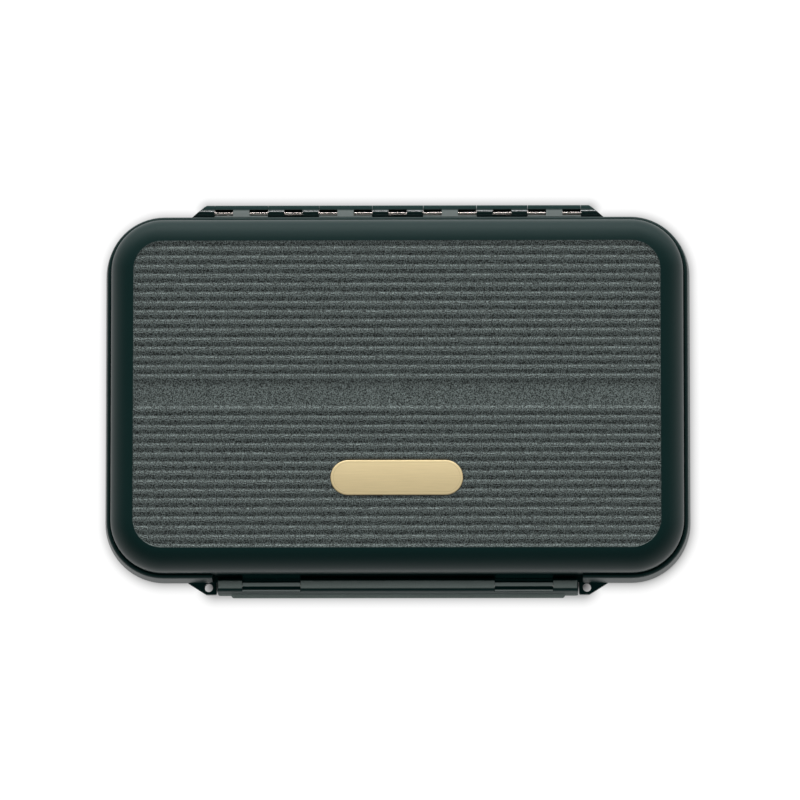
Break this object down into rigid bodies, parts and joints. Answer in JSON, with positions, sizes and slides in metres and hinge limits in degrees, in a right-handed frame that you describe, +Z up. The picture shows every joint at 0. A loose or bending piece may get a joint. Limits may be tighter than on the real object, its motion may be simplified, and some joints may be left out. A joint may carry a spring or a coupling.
{
  "type": "fly box",
  "caption": "Waterproof fly box: two ribbed half shells on a rear pin hinge with a front snap latch, a sealing ring, a bare badge, lanyard ears and slit foam in both halves.",
  "frame": {"origin": "centre of the plane that the closed box rests on", "axes": "+X to the right along the hinge, -Y to the front where the latch is, +Z up through the lid"},
  "size_m": [0.154, 0.1035, 0.037],
  "materials": {
    "green_shell": "dark green moulded plastic, satin border and fine-grained ribbed panel",
    "green_latch": "dark green moulded plastic, satin",
    "steel": "drawn stainless wire",
    "seal_rubber": "soft silicone, dull",
    "gold_plate": "satin gold",
    "tray_plastic": "dark moulded sheet",
    "foam": "closed-cell foam, pale"
  },
  "bodies": {
    "base": {"base_shell": "green_shell", "hinge_pin": "steel", "seal": "seal_rubber", "base_tray": "tray_plastic", "base_foam_1": "foam", "base_foam_2": "foam", "base_foam_3": "foam", "base_foam_4": "foam", "base_foam_5": "foam", "base_foam_6": "foam"},
    "lid": {"lid_shell": "green_shell", "latch_pin": "steel", "name_plate": "gold_plate", "lid_tray": "tray_plastic", "lid_foam_1": "foam", "lid_foam_2": "foam", "lid_foam_3": "foam", "lid_foam_4": "foam", "lid_foam_5": "foam", "lid_foam_6": "foam"},
    "latch": {"latch": "green_latch"}
  },
  "joints": [
    {"name": "lid_hinge", "type": "hinge", "parent": "base", "child": "lid", "pos_m": [0, 0.04955, 0.0185], "axis": [-1, 0, 0], "range_deg": [0, 180]},
    {"name": "latch_hinge", "type": "hinge", "parent": "lid", "child": "latch", "pos_m": [0, -0.04895, 0.0207], "axis": [-1, 0, 0], "range_deg": [0, 100]}
  ]
}
